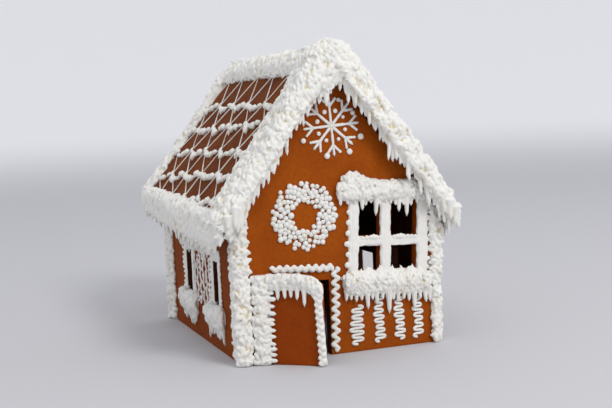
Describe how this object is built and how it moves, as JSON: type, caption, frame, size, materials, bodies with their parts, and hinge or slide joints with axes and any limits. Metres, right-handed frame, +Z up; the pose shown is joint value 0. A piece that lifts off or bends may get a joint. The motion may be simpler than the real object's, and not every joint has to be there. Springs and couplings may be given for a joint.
{
  "type": "gingerbread house",
  "caption": "Gingerbread house with a steep roof, a door standing ajar, a paned front window and small side windows, trimmed all over with piped white icing and icicles.",
  "frame": {"origin": "centre of the bounding box at the base, on the surface that the walls stand on", "axes": "+Z up; the front gable with its door and window faces -Y; the ridge runs along Y; +X is to the right of someone who faces the door"},
  "size_m": [0.1719, 0.2426, 0.2073],
  "materials": {
    "gingerbread_wall": "matt baked biscuit, orange brown, finely mottled",
    "gingerbread_roof": "matt baked biscuit, darker brown",
    "gingerbread_door": "matt baked biscuit, reddish brown",
    "icing": "dry royal icing, warm white, soft sheen"
  },
  "bodies": {
    "root": {"door_leaf": "gingerbread_door", "icing_column_back_left": "icing", "icing_column_back_right": "icing", "icing_column_front_left": "icing", "icing_column_front_right": "icing", "icing_door_hinge": "icing", "icing_door_hood": "icing", "icing_door_strip": "icing", "icing_door_trim": "icing", "icing_eave_left": "icing", "icing_eave_right": "icing", "icing_left_window_far": "icing", "icing_left_window_far_sill": "icing", "icing_left_window_near": "icing", "icing_left_window_near_sill": "icing", "icing_ridge": "icing", "icing_right_window_far": "icing", "icing_right_window_far_sill": "icing", "icing_right_window_near": "icing", "icing_right_window_near_sill": "icing", "icing_snowflake_back": "icing", "icing_snowflake_front": "icing", "icing_squiggle_1": "icing", "icing_squiggle_2": "icing", "icing_squiggle_3": "icing", "icing_squiggle_4": "icing", "icing_verge_back_left": "icing", "icing_verge_back_right": "icing", "icing_verge_front_left": "icing", "icing_verge_front_right": "icing", "icing_window_frame": "icing", "icing_window_lintel": "icing", "icing_window_sill": "icing", "icing_wreath": "icing", "roof_left": "gingerbread_roof", "roof_right": "gingerbread_roof", "wall_back": "gingerbread_wall", "wall_front": "gingerbread_wall", "wall_left": "gingerbread_wall", "wall_right": "gingerbread_wall"}
  },
  "joints": []
}
